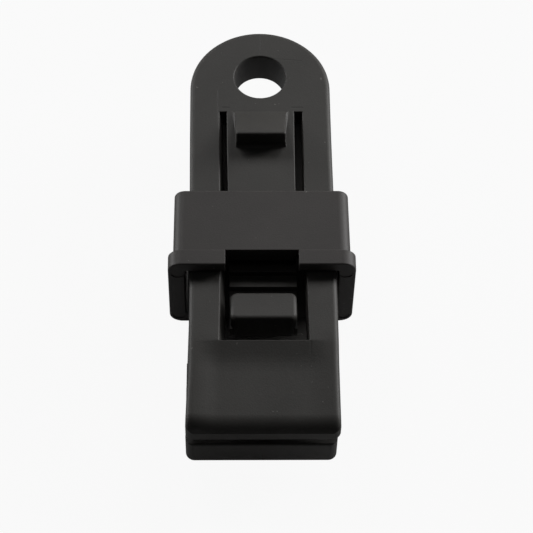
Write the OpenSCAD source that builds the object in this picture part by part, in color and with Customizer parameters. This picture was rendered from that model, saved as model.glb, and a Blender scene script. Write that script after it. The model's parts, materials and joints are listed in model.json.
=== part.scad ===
// Tarp clip: a sprung moulding of two arms and a latch tongue, squeezed shut by a sliding collar.
// The origin is on the rope hole's axis at half the eyelet's thickness. +Y points to the eyelet
// end, -Y to the jaws, and +Z out of the flat top that the collar slides along.

/* [Eyelet] */
// Width of the eyelet and of both arms
body_w = 27; // [24:0.5:34]
// Thickness of the eyelet end
eyelet_t = 6.75; // [6.25:0.25:8]
// Diameter of the rope hole
rope_hole_d = 10; // [6:0.5:11]
// How far the centre of the round end lies in front of the rope hole
end_setback = 2.4; // [0:0.2:4]
// From the rope hole to the rear ends of the two slots
slot_setback = 8; // [7.6:0.2:12]

/* [Upper arm] */
// Thickness of the rails where they leave the eyelet
rail_root_t = 3; // [2.4:0.1:3.2]
// Thickness of the rails where they meet the front bar
rail_front_t = 4.6; // [3:0.1:5]
// Clear width between the two rails at the front
window_w = 15.6; // [15:0.2:17]
// How far each rail narrows to the rear on its inner side
rail_taper = 0.15; // [0:0.05:0.3]
// From the collar's front face to the front edge of the window
window_reach = 14.4; // [13.6:0.2:20]
// Depth of the bar that closes the window, which slopes down to the jaw
bar_l = 3.9; // [3:0.1:6]

/* [Jaws] */
// From the window's front edge to the tips of the jaws
jaw_reach = 16.9; // [14:0.1:24]
// How far the sloping bar drops below the flat top
scoop_drop = 1.2; // [0.8:0.1:1.8]
// How far the top has dropped where the tip starts to round over
tip_drop = 2.05; // [1.85:0.05:2.8]
// Extra width of the jaws at their tips
jaw_flare = 0.4; // [0:0.1:1]
// Depth of the upper jaw's gripping face below the flat top
bite_depth = 5.65; // [5.4:0.05:7]
// Gap between the gripping faces with the collar where the photograph has it
bite_gap = 2.2; // [1.7:0.1:2.4]
// Thickness of the lower jaw at its tip
lower_jaw_t = 5.9; // [4:0.1:6]
// Radius of the upper jaw's rounded tip
tip_r = 1.6; // [0.8:0.1:2]
// Radius of the jaws' upright front corners and of the lower jaw's bottom edge
corner_r = 1.6; // [0.5:0.1:2]
// Height of the gripping teeth
tooth_h = 0.7; // [0.3:0.1:0.9]
// Spacing of the gripping teeth
tooth_pitch = 3; // [2:0.25:4]

/* [Lower arm] */
// Thickness of the lower arm at its root
lower_root_t = 2.85; // [2.4:0.05:2.9]
// Thickness of the lower arm under the collar
lower_arm_t = 4.6; // [3.5:0.1:4.9]
// How far the lower arm turns for each millimetre the collar slides, in thousandths of a radian
cam_rate = 6.5; // [4:0.25:7]

/* [Latch tongue] */
// Width of the tongue
tongue_w = 12.5; // [10:0.1:12.9]
// Extra width of the tongue at its root
tongue_flare = 0.4; // [0:0.1:0.5]
// Thickness of the tongue at its root
tongue_t = 2.8; // [2.2:0.1:2.9]
// Depth of the ratchet's crests below the flat top
crest_depth = 2; // [1.6:0.1:2.2]
// Height of the ratchet's teeth
ratchet_h = 1.4; // [0.6:0.1:1.5]
// Spacing of the ratchet's teeth
ratchet_pitch = 3.3; // [2.5:0.1:3.4]
// Thickness of the tongue under the ratchet
ratchet_web = 2.2; // [1.6:0.1:2.6]

/* [Thumb button] */
// Length of the button along the clip
button_l = 5.2; // [4:0.1:6]
// From the collar's front face to the rear edge of the button
button_reach = 4.8; // [4.4:0.1:6]
// How far the button's front edge stands above the flat top
button_rise = 0.6; // [0:0.1:1]
// Radius of the button's upright corners
button_r = 0.9; // [0.3:0.1:1.5]

/* [Stop tab] */
// Height of the tab above the flat top
tab_h = 3.7; // [2.6:0.1:5]
// Width of the tab
tab_w = 9.4; // [6:0.2:11]
// From the rope hole to the tab's upright face, which stops the collar
tab_reach = 16.3; // [14:0.1:18]

/* [Collar] */
// From the rope hole to the collar's front face
collar_reach = 44.5; // [43.5:0.1:46]
// Length of the collar
collar_l = 16.5; // [14:0.1:18]
// Thickness of the collar's walls at its rear end
collar_wall = 2; // [1.5:0.1:2.5]
// Extra width of the collar in front, from the mould's draft
collar_draft = 0.28; // [0:0.02:0.5]
// Height of the collar's inside
collar_inner_h = 15.15; // [15.15:0.05:16]
// Clearance between the arms' sides and the collar
side_gap = 0.6; // [0.2:0.1:1]
// Clearance between the flat top and the collar's roof
roof_gap = 0.25; // [0.15:0.05:0.4]
// Length of the flange round the collar's mouth
flange_l = 3.2; // [2:0.1:5]
// How far the flange stands out at the sides
flange_side = 0.9; // [0.3:0.1:2]
// How far the flange stands out above the roof
flange_top = 0.35; // [0.1:0.05:1]
// How far the flange stands out below the floor
flange_bottom = 0.6; // [0.1:0.1:1.5]
// Radius of the flange's corners
flange_r = 2.5; // [1:0.1:3.5]
// Width of the notch in the flange's top
notch_w = 13.4; // [12.6:0.1:14]
// Travel of the collar forward, to the tightest click
slide_forward = 3.3; // [1:0.1:3.4]

/* [Hidden] */
$fn = 64;
// Running clearance of the moving members, and a small overrun for every cut
fit_gap = 0.1;
overrun = 1;
// Steps used for a rounded edge and for the cam
arc_steps = 6;
cam_steps = 10;

// Levels: the flat top and what hangs from it
top_z = eyelet_t / 2;
bottom_z = -eyelet_t / 2;
upper_bite_z = top_z - bite_depth;
lower_bite_z = upper_bite_z - bite_gap;
jaw_bottom_z = lower_bite_z - lower_jaw_t;
crest_z = top_z - crest_depth;
valley_z = crest_z - ratchet_h;
web_z = valley_z - ratchet_web;
roof_z = top_z + roof_gap;
floor_z = roof_z - collar_inner_h;

// Places along the clip
slot_y = -slot_setback;
tab_y = -tab_reach;
collar_y = -collar_reach;
collar_rear_y = collar_y + collar_l;
window_y = collar_y - window_reach;
bar_y = window_y - bar_l;
tip_y = window_y - jaw_reach;
button_rear_y = collar_y - button_reach;
button_front_y = button_rear_y - button_l;
slide_back = tab_y - collar_rear_y - 3 * fit_gap;

// The tongue bends about latch_y, the lower arm about hinge_y
tongue_r = tongue_t / 2;
latch_y = slot_y - tongue_r / 5;
latch_z = top_z - tongue_r;
knuckle_r = lower_root_t / 2;
hinge_y = slot_y - knuckle_r * 0.7;
hinge_z = bottom_z + knuckle_r;
cam_rad = cam_rate / 1000;

// The notch is as deep as the flange, and the catch hangs just behind it
notch_y = collar_y + flange_l + fit_gap;
catch_l = 1.3;
catch_w = tongue_w - 4 * fit_gap;
catch_z = crest_z + fit_gap;
catch_y = notch_y + catch_l;
crest_1_y = catch_y + fit_gap / 2 - ratchet_pitch;

// One tooth stands before the catch's tightest place, one behind it, and the rest along its way
ratchet_count = 2 + floor(slide_back / ratchet_pitch);
// Where the ratchet's trough ends behind its last tooth, and how long its end slope is
trough_y = catch_y + slide_back + 4 * fit_gap;
trough_slope = crest_depth / 4;
haunch_l = tongue_t * 2;

function deg(rad) = rad * 180 / PI;
function turned(p, centre, angle) = centre + [
    cos(angle) * (p[0] - centre[0]) - sin(angle) * (p[1] - centre[1]),
    sin(angle) * (p[0] - centre[0]) + cos(angle) * (p[1] - centre[1])];
function arc_points(centre, r, from, to) = [for (i = [0 : arc_steps])
    let (a = from + (to - from) * i / arc_steps) centre + r * [cos(a), sin(a)]];

// The path that the collar's front floor edge follows on the lower arm, as the collar slides
// by travel and the arm turns in step with it
function cam_point(travel) = turned(
    [collar_y + travel, floor_z + fit_gap], [hinge_y, hinge_z], -deg(cam_rad * travel));
cam_path = [for (i = [0 : cam_steps])
    cam_point(-slide_forward + (slide_back + slide_forward) * i / cam_steps)];

// Extrudes an outline drawn in Y and Z across the clip
module across(width) {
    translate([-width / 2, 0, 0]) rotate([90, 0, 90]) linear_extrude(width) children();
}

// Extrudes an outline drawn in X and Z along the clip, from y to y + length
module along(y, length) {
    translate([0, y + length, 0]) rotate([90, 0, 0]) linear_extrude(length) children();
}

// A rectangle with rounded corners, from low to high
module round_box(low, high, r) {
    translate([low[0] + r, low[1]]) square([high[0] - low[0] - 2 * r, high[1] - low[1]]);
    translate([low[0], low[1] + r]) square([high[0] - low[0], high[1] - low[1] - 2 * r]);
    for (x = [low[0] + r, high[0] - r], y = [low[1] + r, high[1] - r])
        translate([x, y]) circle(r);
}

// The jaws in plan: slightly flared, with rounded front corners
module jaw_plan(rear_y) {
    half = body_w / 2;
    tip_half = half + jaw_flare / 2;
    polygon(concat(
        [[half, rear_y], [-half, rear_y]],
        arc_points([-tip_half + corner_r, tip_y + corner_r], corner_r, 180, 270),
        arc_points([tip_half - corner_r, tip_y + corner_r], corner_r, 270, 360)));
}

module jaw_block(rear_y) {
    intersection() {
        across(body_w + jaw_flare + overrun) children();
        translate([0, 0, jaw_bottom_z - body_w / 2]) linear_extrude(body_w) jaw_plan(rear_y);
    }
}

// The gripping teeth, rearwards from the flat lip: half of each tooth stands out of the gripping
// face, and half is sunk in it, so that the lower teeth fall between the upper ones
lip_l = tooth_pitch * 2 / 3;
tooth_count = floor((jaw_reach - bar_l - lip_l) / tooth_pitch - 1 / 2);
function tooth_points(z, h, shift) = concat(
    [[tip_y + lip_l, z], [tip_y + lip_l, z - h / 2]],
    [for (i = [0 : tooth_count - 1], s = [0, 1])
        [tip_y + lip_l + tooth_pitch * (i + (s + shift) / 2), s == 1 ? z + h / 2 : z - h / 2]],
    [[tip_y + lip_l + tooth_pitch * (tooth_count + shift / 2), z - h / 2]],
    [[tip_y + lip_l + tooth_pitch * (tooth_count + 1 / 2), z - h / 2]],
    [[tip_y + lip_l + tooth_pitch * (tooth_count + 1 / 2), z]]);

module rope_eyelet() {
    color([0.17, 0.17, 0.18]) difference() {
        translate([0, 0, bottom_z]) linear_extrude(eyelet_t) union() {
            translate([0, -end_setback]) circle(body_w / 2);
            translate([-body_w / 2, slot_y]) square([body_w, -slot_y - end_setback]);
        }
        // The round end is cut straight where the slots begin
        translate([-body_w, slot_y - 2 * body_w, bottom_z - overrun])
            cube([2 * body_w, 2 * body_w, eyelet_t + 2 * overrun]);
        translate([0, 0, bottom_z - overrun]) cylinder(h = eyelet_t + 2 * overrun, d = rope_hole_d);
        // Pockets that the bending ends of the tongue and of the lower arm turn in
        translate([0, latch_y, latch_z]) rotate([0, 90, 0])
            cylinder(h = tongue_w + tongue_flare + 2 * fit_gap, r = tongue_r + fit_gap, center = true);
        translate([0, hinge_y, hinge_z]) rotate([0, 90, 0])
            cylinder(h = body_w + 2 * overrun, r = knuckle_r + fit_gap, center = true);
    }
}

module upper_arm() {
    rear_half = window_w / 2 + rail_taper;
    color([0.17, 0.17, 0.18]) difference() {
        across(body_w) polygon([
            [slot_y, top_z], [window_y, top_z], [bar_y, top_z - scoop_drop],
            [bar_y, upper_bite_z], [window_y, upper_bite_z],
            [window_y, top_z - rail_front_t], [slot_y, top_z - rail_root_t]]);
        translate([0, 0, upper_bite_z - overrun]) linear_extrude(bite_depth + 2 * overrun)
            polygon([
                [-window_w / 2, window_y], [window_w / 2, window_y],
                [rear_half, slot_y], [rear_half, slot_y + overrun],
                [-rear_half, slot_y + overrun], [-rear_half, slot_y]]);
    }
}

module upper_jaw() {
    round_y = tip_y + tip_r;
    round_z = top_z - tip_drop;
    color([0.17, 0.17, 0.18]) jaw_block(bar_y) polygon(concat(
        [[bar_y, upper_bite_z], [bar_y, top_z - scoop_drop]],
        [[(bar_y + round_y) / 2, (top_z - scoop_drop + round_z) / 2 + (tip_drop - scoop_drop) / 8]],
        arc_points([round_y, round_z - tip_r], tip_r, 90, 180),
        [[tip_y, upper_bite_z]],
        tooth_points(upper_bite_z, -tooth_h, 0)));
}

module lower_arm() {
    cam_rear = cam_path[cam_steps];
    // The arm's upper side follows its cam, one thickness above it
    inner = [for (i = [cam_steps : -1 : 0]) [cam_path[i][0], cam_path[i][1] + lower_arm_t]];
    color([0.17, 0.17, 0.18]) union() {
        across(body_w) polygon(concat(
            [[hinge_y, hinge_z - knuckle_r]],
            [for (i = [cam_steps : -1 : 0]) cam_path[i]],
            [[bar_y, jaw_bottom_z], [bar_y, lower_bite_z], [window_y, lower_bite_z]],
            [[window_y, jaw_bottom_z + lower_arm_t - bite_gap / 2]],
            [for (i = [0 : cam_steps]) inner[cam_steps - i]],
            [[hinge_y, hinge_z + knuckle_r]]));
        translate([0, hinge_y, hinge_z]) rotate([0, 90, 0])
            cylinder(h = body_w, r = knuckle_r, center = true);
    }
}

module lower_jaw() {
    color([0.17, 0.17, 0.18]) jaw_block(bar_y) polygon(concat(
        [[bar_y, lower_bite_z], [bar_y, jaw_bottom_z]],
        arc_points([tip_y + corner_r, jaw_bottom_z + corner_r], corner_r, 270, 180),
        [[tip_y, lower_bite_z]],
        tooth_points(lower_bite_z, tooth_h, 1)));
}

module latch_tongue() {
    ramp_rear_y = crest_1_y + ratchet_pitch * (ratchet_count - 1);
    root_half = (tongue_w + tongue_flare) / 2;
    color([0.17, 0.17, 0.18]) intersection() {
        union() {
            across(tongue_w + tongue_flare) polygon(concat(
                [[latch_y, top_z], [trough_y + trough_slope, top_z], [trough_y, valley_z]],
                [[ramp_rear_y, valley_z]],
                [for (i = [ratchet_count - 1 : -1 : 0], s = [0, 1])
                    [crest_1_y + ratchet_pitch * (i - 1), s == 0 ? crest_z : valley_z]],
                [[button_rear_y, valley_z], [button_rear_y, web_z]],
                [[trough_y, web_z], [trough_y + haunch_l, top_z - tongue_t]],
                [[latch_y, top_z - tongue_t]]));
            translate([0, latch_y, latch_z]) rotate([0, 90, 0])
                cylinder(h = tongue_w + tongue_flare, r = tongue_r, center = true);
        }
        translate([0, 0, web_z - overrun]) linear_extrude(top_z - web_z + 2 * overrun) polygon([
            [-tongue_w / 2, button_rear_y], [tongue_w / 2, button_rear_y],
            [root_half, latch_y], [root_half, latch_y + tongue_t],
            [-root_half, latch_y + tongue_t], [-root_half, latch_y]]);
    }
}

module thumb_button() {
    half = tongue_w / 2 - fit_gap;
    color([0.17, 0.17, 0.18]) intersection() {
        across(2 * half) polygon([
            [button_rear_y, web_z], [button_rear_y, top_z],
            [button_front_y + button_r, top_z + button_rise],
            [button_front_y, top_z + button_rise - button_r / 2], [button_front_y, web_z]]);
        translate([0, 0, web_z - overrun]) linear_extrude(top_z - web_z + 2 * overrun + button_rise)
            round_box([-half, button_front_y], [half, button_rear_y], button_r);
    }
}

module stop_tab() {
    crown_l = tab_h / 5;
    color([0.17, 0.17, 0.18]) across(tab_w) polygon([
        [tab_y, top_z], [tab_y, top_z + tab_h], [tab_y + crown_l, top_z + tab_h],
        [latch_y, top_z]]);
}

module locking_collar() {
    inner_half = body_w / 2 + side_gap;
    rear_half = inner_half + collar_wall;
    front_half = rear_half + collar_draft / 2;
    outer_r = flange_r - flange_side / 2;
    outer_top_z = roof_z + collar_wall;
    outer_bottom_z = floor_z - collar_wall;
    flange_half = front_half + flange_side;
    inner_r = side_gap;
    color([0.17, 0.17, 0.18]) difference() {
        union() {
            intersection() {
                along(collar_y, collar_l) round_box(
                    [-front_half, outer_bottom_z], [front_half, outer_top_z], outer_r);
                translate([0, 0, outer_bottom_z - overrun])
                    linear_extrude(outer_top_z - outer_bottom_z + 2 * overrun) polygon([
                        [-front_half, collar_y], [front_half, collar_y],
                        [front_half, collar_y + flange_l], [rear_half, collar_rear_y],
                        [-rear_half, collar_rear_y], [-front_half, collar_y + flange_l]]);
            }
            along(collar_y, flange_l) round_box([-flange_half, outer_bottom_z - flange_bottom],
                [flange_half, outer_top_z + flange_top], flange_r);
        }
        along(collar_y - overrun, collar_l + 2 * overrun)
            round_box([-inner_half, floor_z], [inner_half, roof_z], inner_r);
        translate([-notch_w / 2, collar_y - overrun, roof_z - overrun])
            cube([notch_w, notch_y - collar_y + overrun, collar_wall + flange_top + 2 * overrun]);
    }
    // The catch hangs from the roof behind the notch, with its upright face to the rear
    color([0.17, 0.17, 0.18]) across(catch_w) polygon([
        [notch_y, roof_z + fit_gap], [notch_y, catch_z + ratchet_h / 2],
        [notch_y + catch_l / 2, catch_z], [catch_y, catch_z], [catch_y, roof_z + fit_gap]]);
}

rope_eyelet();
upper_arm();
upper_jaw();
lower_arm();
lower_jaw();
latch_tongue();
thumb_button();
stop_tab();
locking_collar();
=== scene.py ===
"""The visible surfaces of a moulded tarp clip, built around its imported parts.

The clip is two mouldings: a sprung body with a latch tongue, and a collar that slides on it.
The sprung body is shaped and rounded whole, as it is moulded, and is then parted where the
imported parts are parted, so that no seam shows. Meshes are worked in millimetres.
"""

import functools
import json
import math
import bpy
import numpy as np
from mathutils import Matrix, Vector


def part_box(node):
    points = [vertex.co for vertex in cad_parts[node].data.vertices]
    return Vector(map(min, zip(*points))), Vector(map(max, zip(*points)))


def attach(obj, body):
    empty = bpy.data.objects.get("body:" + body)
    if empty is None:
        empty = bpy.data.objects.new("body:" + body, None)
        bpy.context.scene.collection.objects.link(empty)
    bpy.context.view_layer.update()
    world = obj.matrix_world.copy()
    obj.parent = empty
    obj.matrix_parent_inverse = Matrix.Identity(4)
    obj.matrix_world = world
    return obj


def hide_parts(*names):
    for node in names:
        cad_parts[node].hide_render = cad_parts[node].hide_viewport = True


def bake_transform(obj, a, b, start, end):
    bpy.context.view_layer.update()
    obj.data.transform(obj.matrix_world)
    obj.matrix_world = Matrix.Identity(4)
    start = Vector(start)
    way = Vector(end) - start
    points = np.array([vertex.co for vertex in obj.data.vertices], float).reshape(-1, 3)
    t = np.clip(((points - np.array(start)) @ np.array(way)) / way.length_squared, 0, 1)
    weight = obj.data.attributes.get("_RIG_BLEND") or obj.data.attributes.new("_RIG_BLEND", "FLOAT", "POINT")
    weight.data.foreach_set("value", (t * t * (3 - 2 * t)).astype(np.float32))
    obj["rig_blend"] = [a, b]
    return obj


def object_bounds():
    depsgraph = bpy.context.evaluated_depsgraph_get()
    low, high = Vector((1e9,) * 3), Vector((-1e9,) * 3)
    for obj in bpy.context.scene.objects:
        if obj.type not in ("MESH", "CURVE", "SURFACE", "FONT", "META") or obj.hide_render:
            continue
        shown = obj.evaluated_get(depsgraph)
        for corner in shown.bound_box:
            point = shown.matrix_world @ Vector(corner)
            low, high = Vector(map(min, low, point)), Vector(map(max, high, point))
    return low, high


bl_info = {
    "name": "Tarp clip",
    "version": (1, 0, 0),
    "blender": (4, 5, 0),
    "location": "3D View > Sidebar > Tarp clip",
    "description": "Models a tarp clip's sprung body and sliding collar, with their finish and stage",
    "category": "Object",
}

from types import SimpleNamespace

import bmesh
import bpy
from bpy.props import FloatProperty, FloatVectorProperty, PointerProperty
from mathutils import Matrix, Vector

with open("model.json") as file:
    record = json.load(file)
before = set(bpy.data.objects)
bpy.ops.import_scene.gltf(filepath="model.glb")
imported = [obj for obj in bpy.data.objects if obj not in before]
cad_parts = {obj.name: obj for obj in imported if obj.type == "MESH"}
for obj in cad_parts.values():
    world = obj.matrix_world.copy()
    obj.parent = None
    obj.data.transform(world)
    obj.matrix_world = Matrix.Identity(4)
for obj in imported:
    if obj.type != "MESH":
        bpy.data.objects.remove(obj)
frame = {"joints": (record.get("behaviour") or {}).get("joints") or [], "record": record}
CAD_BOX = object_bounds()

# Millimetres in a metre
WORK = 1000.0
# Edges turned further than this are sharp
SHARP = math.radians(28)
# Steps across a rounded edge, and the widest rounding of any edge
EDGE_STEPS = 4
WIDEST = 1.5
# How far a cut runs past what it cuts
OVERRUN = 1.0
# How far a feature is sunk into what carries it, so that the two join
SUNK = 0.3
# Clearance between faces that slide past each other
FIT_GAP = 0.1
# Places closer together than this count as the same
NEAR = 0.05
# An edge whose direction along an axis is more than this counts as lying along it
ALONG = 0.7
# How far behind the window's front edge the sides of the top begin to fall
SIDE_KNEE = 1
# How far each bend of the top is softened to either side, and in how many steps
SCOOP_SOFT = 2.3
KNEE_SOFT = 1.7
SIDE_SOFT = 2
SOFT_STEPS = 3
NOSE_STEPS = 9
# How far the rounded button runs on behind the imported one, and ahead of it
BUTTON_BACK = 0.6
BUTTON_AHEAD = 0.25
# The pin marks' depth, and how far inside the flange the upper and the lower ones lie
PIN_MARK_DEPTH = 0.12
PIN_MARKS_IN = (3.24, 2.48)
# Radii of small edges and of hidden inner corners, in millimetres
RADII = SimpleNamespace(
    hole_top=0.3,
    hole_bottom=0.1,
    crest=0.2,
    window_front=0.12,
    slots=0.22,
    tab=0.4,
    lower_jaw=0.15,
    rail_root=0.2,
    bite_root=0.8,
    lower_step=1.4,
    lower_root=2,
    web=3,
    collar=0.2,
    collar_front=0.3,
    collar_rear=0.45,
    flange_root=0.15,
    notch=0.12,
)
# Fine lines that the mould leaves on the body: from, to, half width in millimetres, and strength
MOULD_MARKS = (
    ((-8.14, -3.06, 3.375), (-8.14, -11.6, 3.375), 0.16, 0.6),
    ((0.72, 4.6, 3.375), (8.1, 3.9, 3.375), 0.14, 0.35),
    ((0.19, 10.41, 3.375), (0.15, 5.45, 3.375), 0.16, 0.5),
    ((-7.23, -7.36, 3.375), (-5.89, -7.36, 3.375), 0.2, 0.7),
    ((5.97, -7.36, 3.375), (8.07, -7.36, 3.375), 0.2, 0.7),
    ((8.59, -59.15, 3.3), (8.49, -64.06, 2.4), 0.3, 0.6),
    ((-0.1, -75.8, -5.3), (-0.1, -75.8, -9.6), 0.16, 0.6),
)


def box_of(node):
    """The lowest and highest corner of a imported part, in millimetres."""
    low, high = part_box(node)
    return low * WORK, high * WORK


EYELET_LOW, EYELET_HIGH = box_of("rope_eyelet")
ARM_LOW, _ = box_of("upper_arm")
JAW_LOW, JAW_HIGH = box_of("upper_jaw")
LOWER_LOW, _ = box_of("lower_arm")
LOWER_JAW_LOW, _ = box_of("lower_jaw")
TONGUE_LOW, TONGUE_HIGH = box_of("latch_tongue")
TAB_LOW, TAB_HIGH = box_of("stop_tab")
BUTTON_LOW, BUTTON_HIGH = box_of("thumb_button")
COLLAR_LOW, COLLAR_HIGH = box_of("locking_collar")
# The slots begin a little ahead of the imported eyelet. The bending members are parted from it
# just ahead of that, and their roots bend over a short length, in a few steps
SLOT_AHEAD = 0.35
SLOT_Y = EYELET_LOW.y - SLOT_AHEAD
ROOT_Y = SLOT_Y - FIT_GAP / 2
BEND_L = 4
BEND_STEPS = 6
JOINTS = {joint["name"]: joint for joint in frame["joints"]}
COUPLINGS = {row["joint"]: row for row in frame["record"]["behaviour"]["couplings"]}

# Sizes of the plastic's clouds and dust, as noise scales, and where the dust starts and is full
CLOUD_SCALE = 85
DUST_SCALE = 1000
DUST_FROM = 0.76
DUST_FULL = 0.82
DUST_COLOUR = (0.2, 0.19, 0.18, 1)
# How a mould's line darkens the plastic and sinks into it, and how its roughness varies
MARK_SHADE = -0.3
MARK_SUNK = -3
ROUGHNESS_SPREAD = 0.12
# Height of the grain in metres
GRAIN_HEIGHT = 0.00006

# The photograph's camera: its place in metres, then how far it looks down, turns and rolls in
# degrees, and its lens and sensor in millimetres
CAMERA_PLACE = (-0.005684, -0.246396, 0.324667)
CAMERA_ANGLES = (57.694, -1.836, 1.496)
LENS = 140.99
SENSOR = 36
# Nothing nearer to the camera than this, in metres, is drawn
NEAREST = 0.01
# What the lamps face and how far off they stand, in metres
AIM = Vector((0, -0.033, 0))
LAMP_DISTANCE = 0.9
# Each lamp's name, its power's property, and its turn from behind and its height in degrees
LAMPS = (
    ("Back left lamp", "back_left_power", -30, 40),
    ("Back right lamp", "back_right_power", 30, 40),
    ("Right lamp", "right_power", 60, 22),
    ("Low right lamp", "low_right_power", 63, 10),
    ("Low left lamp", "low_left_power", -60, 8),
    ("Top lamp", "top_power", 0, 90),
)
# The floor's grey under light, how much of it is plain white, and its gap and half width in metres
FLOOR_COLOUR = (0.56, 0.56, 0.56, 1)
FLOOR_WHITE = 0.93
FLOOR_GAP = 0.0002
FLOOR_REACH = 3
# How strongly gloss sees the white background, and the world's own light
GLOSS_SHARE = 0.05
WORLD_LIGHT = 0.005


def length(name, description, millimetres):
    """A length property that starts at a size given in millimetres."""
    return FloatProperty(
        name=name,
        description=description,
        default=millimetres / WORK,
        min=0,
        precision=5,
        unit="LENGTH",
    )


class ClipSizes(bpy.types.PropertyGroup):
    """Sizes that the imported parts' boxes don't give"""

    rope_hole_d: length("Rope hole", "Diameter of the rope hole at the top", 10)
    hole_draft: length("Rope hole draft", "How much narrower the rope hole is below", 0.4)
    window_w: length("Window width", "Clear width between the rails at the collar's front", 15.94)
    rail_taper: length("Rail taper", "How far each rail narrows to the rear", 0.08)
    window_flare: length("Window flare", "How far the window widens on each side in front", 0.22)
    rail_draft: length("Rail draft", "How far each rail thickens downwards on its inner side", 0.75)
    rail_lean: length("Rail lean", "How far the rails' inner sides lean to the right below", 0.45)
    rail_root_t: length("Rail root", "Thickness of the rails at the eyelet", 3)
    rail_front_t: length("Rail front", "Thickness of the rails at the front bar", 4.6)
    window_reach: length("Window reach", "From the collar's front to the window's front", 14.3)
    scoop_drop: length("Scoop", "How far the bar drops below the flat top", 1.2)
    scoop_w: length("Scoop width", "Width of the scoop ahead of the window", 19.8)
    tip_drop: length("Tip drop", "How far the top has dropped at the tip", 2.05)
    nose_l: length("Nose", "Length of the upper jaw's rounded nose", 3)
    nose_turn: FloatProperty(
        name="Nose slope",
        description="Slope of the nose where it meets the lip",
        default=math.radians(60),
        unit="ROTATION",
    )
    lip_h: length("Lip", "Height of the upright lip at the upper jaw's tip", 2.05)
    lip_r: length("Lower lip", "Radius of the lower jaw's upper edge in front", 0.5)
    upper_jaw_w: length("Upper jaw width", "Width of the upper jaw in front", 27.5)
    lower_jaw_w: length("Lower jaw width", "Width of the lower jaw in front", 27.1)
    body_w: length("Body width", "Width of the eyelet and of the arms", 26.86)
    corner_r: length("Jaw corners", "Radius of the jaws' upright corners", 1.6)
    upper_bow: length("Upper bow", "How far the rails have set sideways", 0.2)
    tongue_bow: length("Tongue bow", "How far the tongue's free end has set sideways", 0.24)
    lower_bow: length("Lower bow", "How far the lower jaw has set sideways", 0.24)
    jaw_twist: length("Jaw twist", "How much higher the upper jaw's left edge has set", 0.45)
    bite_gap: length("Bite gap", "Gap between the gripping faces", 2.2)
    tooth_h: length("Tooth height", "Height of the gripping teeth", 0.7)
    tooth_pitch: length("Tooth pitch", "Spacing of the gripping teeth", 3)
    lower_root_t: length("Lower arm root", "Thickness of the lower arm at its root", 2.85)
    lower_arm_t: length("Lower arm", "Thickness of the lower arm under the collar", 4.6)
    tongue_w: length("Tongue width", "Width of the tongue", 12.2)
    tongue_t: length("Tongue root", "Thickness of the tongue at its root", 2.8)
    crest_depth: length("Crest depth", "Depth of the ratchet's crests below the flat top", 2)
    ratchet_h: length("Ratchet height", "Height of the ratchet's teeth", 1.4)
    ratchet_pitch: length("Ratchet pitch", "Spacing of the ratchet's teeth", 3.3)
    tab_fillet: length("Tab fillet", "Radius of the hollow at the tab's foot", 1)
    top_edge_r: length("Top edges", "Radius of the body's outer top edges", 1)
    bottom_edge_r: length("Bottom edges", "Radius of the body's outer bottom edges", 0.4)
    button_w: length("Button width", "Width of the button", 12)
    button_edge_r: length("Button edges", "Radius of the button's top edges", 0.8)
    button_r: length("Button corners", "Radius of the button's upright corners", 1.3)
    collar_wall: length("Collar wall", "Thickness of the collar's walls", 2)
    collar_draft: length("Collar draft", "Extra width of the collar in front", 0.28)
    collar_inner_h: length("Collar inside", "Height of the collar's inside", 15.15)
    roof_gap: length("Roof gap", "Clearance between the flat top and the collar's roof", 0.25)
    flange_l: length("Flange length", "Length of the flange along the clip", 3.2)
    flange_side: length("Flange side", "How far the flange stands out at the sides", 0.9)
    flange_top: length("Flange top", "How far the flange stands out above", 0.35)
    flange_bottom: length("Flange bottom", "How far the flange stands out below", 0.6)
    inner_r: length("Inner corners", "Radius of the corners inside the collar", 0.6)
    flange_r: length("Flange corners", "Radius of the flange's corners", 2.5)
    notch_w: length("Notch width", "Width of the notch in the flange", 13.4)
    catch_l: length("Catch", "Thickness of the catch under the collar's roof", 1.3)
    pin_mark_d: length("Pin marks", "Diameter of the ejector pins' marks", 2.6)


def tint(name, description, colour):
    """A colour as a property."""
    return FloatVectorProperty(
        name=name, description=description, default=colour, subtype="COLOR", size=4, min=0, max=1
    )


class ClipFinish(bpy.types.PropertyGroup):
    """Colours and finish of the two mouldings"""

    body_colour: tint("Body colour", "Colour of the sprung body", (0.0437, 0.0418, 0.0388, 1))
    collar_colour: tint("Collar colour", "Colour of the collar", (0.0452, 0.0416, 0.0397, 1))
    roughness: FloatProperty(
        name="Roughness",
        description="Roughness of the moulded skin",
        default=0.55,
        min=0,
        max=1,
        subtype="FACTOR",
    )


def power(name, description, watts):
    """A lamp's power as a property."""
    return FloatProperty(name=name, description=description, default=watts, min=0, unit="POWER")


class ClipStage(bpy.types.PropertyGroup):
    """The lamps round the clip"""

    back_left_power: power("Back left lamp", "Power of the lamp behind at the left", 2.0)
    back_right_power: power("Back right lamp", "Power of the lamp behind at the right", 1.7)
    right_power: power("Right lamp", "Power of the lamp at the right", 3.1)
    low_right_power: power("Low right lamp", "Power of the low lamp at the right", 3.2)
    low_left_power: power("Low left lamp", "Power of the low lamp at the left", 3.5)
    top_power: power("Top lamp", "Power of the lamp overhead", 0.15)
    lamp_size: FloatProperty(
        name="Lamp size", description="Width of each lamp", default=0.3, min=0.01, unit="LENGTH"
    )


def in_millimetres(group):
    """A property group's sizes, with its lengths in millimetres."""
    rows = [row for row in group.bl_rna.properties if row.type == "FLOAT"]
    scales = {row.identifier: WORK if row.unit == "LENGTH" else 1 for row in rows}
    return SimpleNamespace(**{name: getattr(group, name) * by for name, by in scales.items()})


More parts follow.
